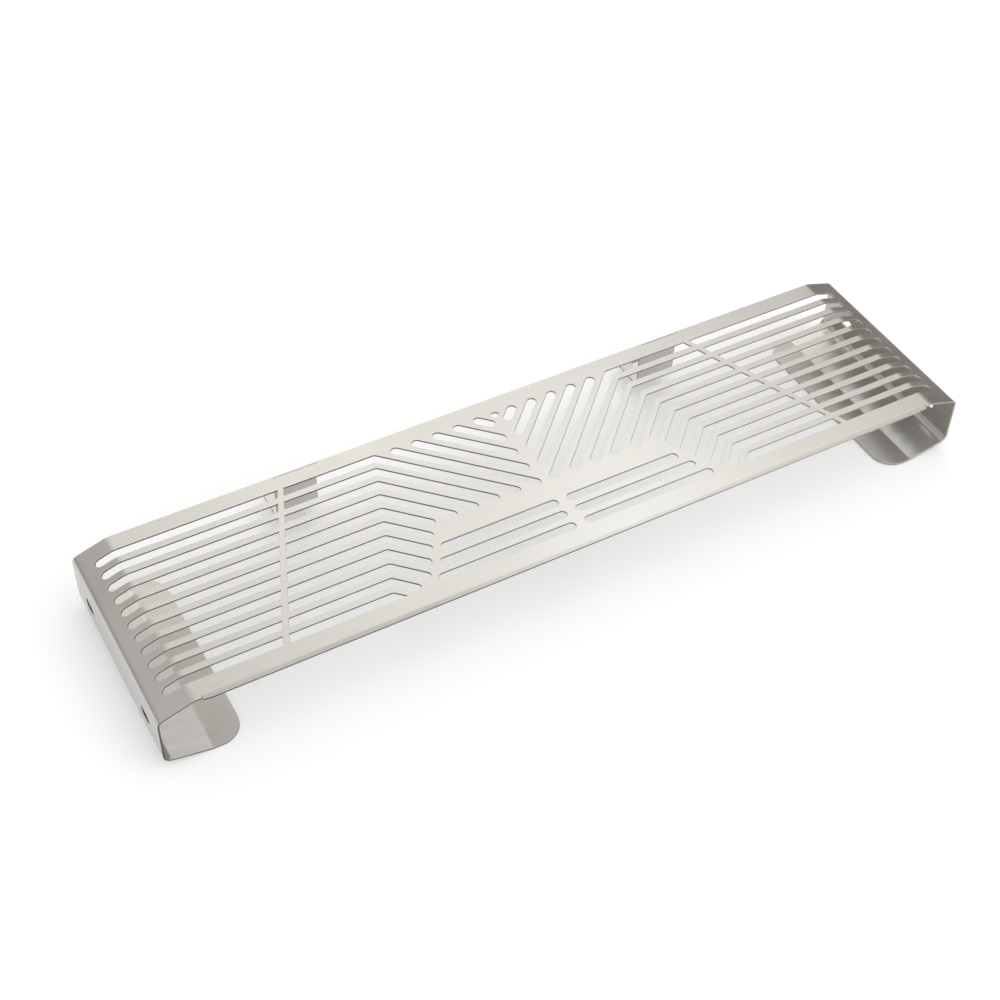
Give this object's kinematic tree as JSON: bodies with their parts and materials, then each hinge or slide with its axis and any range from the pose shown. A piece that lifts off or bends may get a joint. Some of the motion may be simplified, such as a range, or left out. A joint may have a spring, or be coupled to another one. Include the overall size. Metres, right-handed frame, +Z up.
{
  "type": "motorcycle radiator guard",
  "caption": "Folded stainless guard with a grille of bent slots, sloping shoulders, inward foot flanges and slotted tabs, which fits over a motorcycle radiator and keeps stones off its core.",
  "frame": {"origin": "on the floor under the foot flanges, below the middle of the bounding box", "axes": "+X along the face, +Y across the face towards the fixing tabs, +Z up from the foot flanges to the slotted face"},
  "size_m": [0.445, 0.1344, 0.039],
  "materials": {
    "brushed_stainless": "satin, brushed along the face"
  },
  "bodies": {
    "root": {"guard": "brushed_stainless"}
  },
  "joints": []
}
